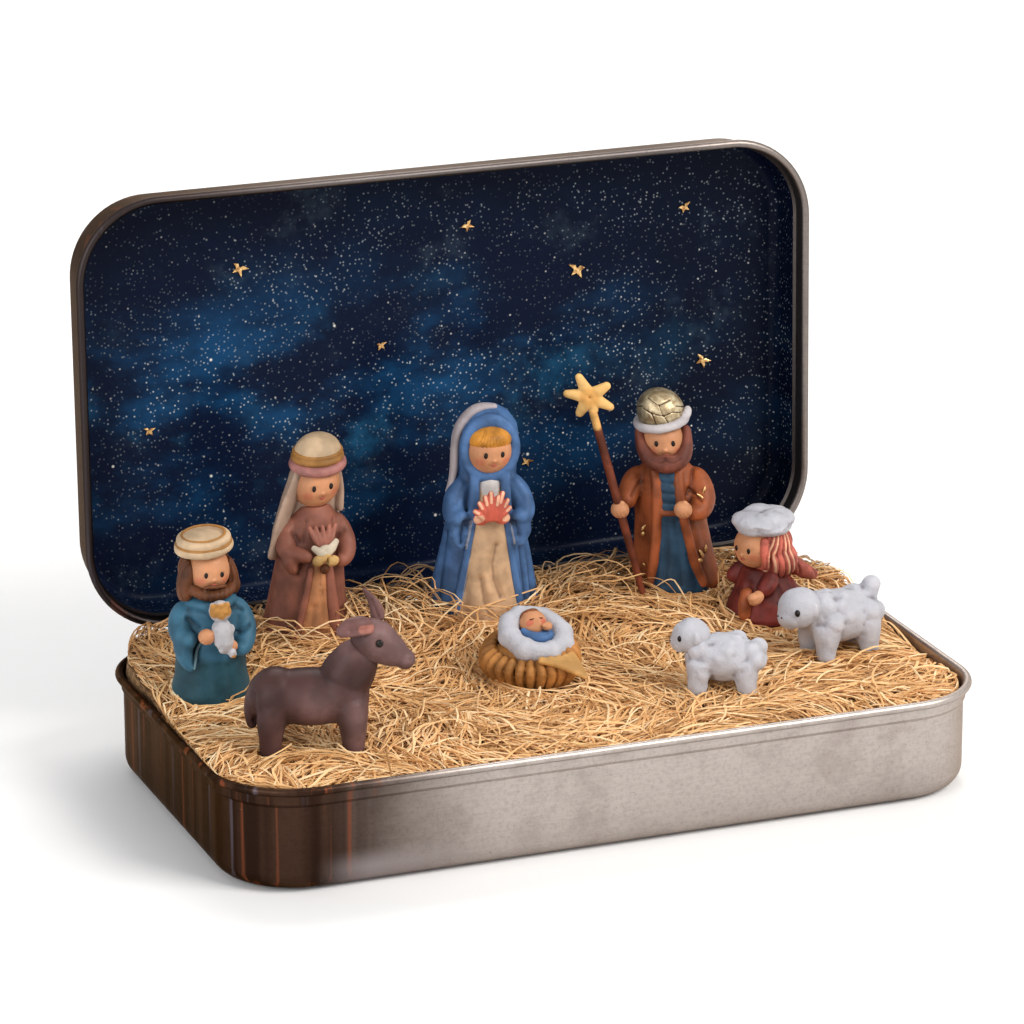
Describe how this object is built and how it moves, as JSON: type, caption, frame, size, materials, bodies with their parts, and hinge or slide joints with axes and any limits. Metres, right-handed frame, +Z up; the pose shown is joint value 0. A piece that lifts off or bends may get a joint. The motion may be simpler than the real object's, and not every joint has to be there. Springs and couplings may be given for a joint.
{
  "type": "pocket nativity tin",
  "caption": "Hinged pocket tin, open, with a bed of straw in which small clay nativity figures, animals and a manger stand before a night-sky lid.",
  "frame": {"origin": "centre of the tray's flat underside", "axes": "+X along the long side, +Y towards the hinge, +Z up"},
  "size_m": [0.095, 0.0636, 0.0674],
  "materials": {
    "tinplate": "brushed tinplate, warm reflections",
    "pin_steel": "plain wire",
    "straw": "dry golden fibre",
    "steel_blue_clay": "baked polymer clay",
    "skin_clay": "baked polymer clay",
    "brown_clay": "baked polymer clay",
    "cream_clay": "baked polymer clay",
    "white_clay": "baked polymer clay, stippled",
    "rose_clay": "baked polymer clay",
    "tan_clay": "baked polymer clay",
    "mauve_clay": "baked polymer clay",
    "cornflower_clay": "baked polymer clay",
    "golden_clay": "baked polymer clay",
    "rosy_clay": "baked polymer clay",
    "navy_clay": "baked polymer clay",
    "rust_clay": "baked polymer clay",
    "gold_leaf": "crackled gold leaf",
    "maroon_clay": "baked polymer clay",
    "pink_clay": "baked polymer clay",
    "donkey_clay": "baked polymer clay",
    "basket_clay": "baked polymer clay"
  },
  "bodies": {
    "tin_base": {"base_tray": "tinplate", "straw_bed": "straw", "tray_hinge_leaf_left": "tinplate", "tray_hinge_leaf_right": "tinplate", "hinge_pin_left": "pin_steel", "hinge_pin_right": "pin_steel"},
    "lid": {"lid_shell": "tinplate", "lid_hinge_leaf_left": "tinplate", "lid_hinge_leaf_right": "tinplate"},
    "shepherd": {"shepherd_robe": "steel_blue_clay", "shepherd_head": "skin_clay", "shepherd_hair_and_beard": "brown_clay", "shepherd_turban": "cream_clay", "shepherd_sleeve_left": "steel_blue_clay", "shepherd_sleeve_right": "steel_blue_clay", "shepherd_lamb": "white_clay", "shepherd_hand": "skin_clay"},
    "veiled_figure": {"veiled_robe": "rose_clay", "veiled_underskirt": "tan_clay", "veiled_head": "skin_clay", "veiled_brim": "mauve_clay", "veiled_cap": "cream_clay", "veil": "cream_clay", "veiled_sleeve_left": "rose_clay", "veiled_sleeve_right": "rose_clay", "veiled_gift": "cream_clay"},
    "mother": {"mother_dress": "cream_clay", "mother_mantle": "cornflower_clay", "mother_head": "skin_clay", "mother_hair": "golden_clay", "mother_sleeve_left": "cornflower_clay", "mother_sleeve_right": "cornflower_clay", "mother_hands": "rosy_clay"},
    "king": {"king_tunic": "navy_clay", "king_coat": "rust_clay", "king_head": "skin_clay", "king_beard": "brown_clay", "king_cap": "gold_leaf", "king_brim": "white_clay", "king_hand_left": "skin_clay", "king_hand_right": "skin_clay", "king_staff": "rust_clay", "king_star": "golden_clay"},
    "kneeling_figure": {"kneeler_robe": "maroon_clay", "kneeler_head": "skin_clay", "kneeler_hair_cloth": "pink_clay", "kneeler_beret": "white_clay", "kneeler_arm": "skin_clay"},
    "donkey": {"donkey_body": "donkey_clay", "donkey_head": "donkey_clay", "donkey_ear_left": "donkey_clay", "donkey_ear_right": "donkey_clay"},
    "manger": {"manger_basket": "basket_clay", "manger_swaddle": "white_clay", "child_head": "skin_clay"},
    "small_lamb": {"small_lamb_body": "white_clay", "small_lamb_head": "white_clay"},
    "large_lamb": {"large_lamb_body": "white_clay", "large_lamb_head": "white_clay"}
  },
  "joints": [
    {"name": "lid_hinge", "type": "hinge", "parent": "tin_base", "child": "lid", "pos_m": [0, 0.02776, 0.01295], "axis": [1, 0, 0], "range_deg": [0, 28]},
    {"name": "shepherd_lift", "type": "slide", "parent": "tin_base", "child": "shepherd", "axis": [0, 0, 1], "range_m": [0, 0.058]},
    {"name": "veiled_figure_lift", "type": "slide", "parent": "tin_base", "child": "veiled_figure", "axis": [0, 0, 1], "range_m": [0, 0.058]},
    {"name": "mother_lift", "type": "slide", "parent": "tin_base", "child": "mother", "axis": [0, 0, 1], "range_m": [0, 0.058]},
    {"name": "king_lift", "type": "slide", "parent": "tin_base", "child": "king", "axis": [0, 0, 1], "range_m": [0, 0.058]},
    {"name": "kneeling_figure_lift", "type": "slide", "parent": "tin_base", "child": "kneeling_figure", "axis": [0, 0, 1], "range_m": [0, 0.058]},
    {"name": "donkey_lift", "type": "slide", "parent": "tin_base", "child": "donkey", "axis": [0, 0, 1], "range_m": [0, 0.058]},
    {"name": "manger_lift", "type": "slide", "parent": "tin_base", "child": "manger", "axis": [0, 0, 1], "range_m": [0, 0.058]},
    {"name": "small_lamb_lift", "type": "slide", "parent": "tin_base", "child": "small_lamb", "axis": [0, 0, 1], "range_m": [0, 0.058]},
    {"name": "large_lamb_lift", "type": "slide", "parent": "tin_base", "child": "large_lamb", "axis": [0, 0, 1], "range_m": [0, 0.058]}
  ]
}
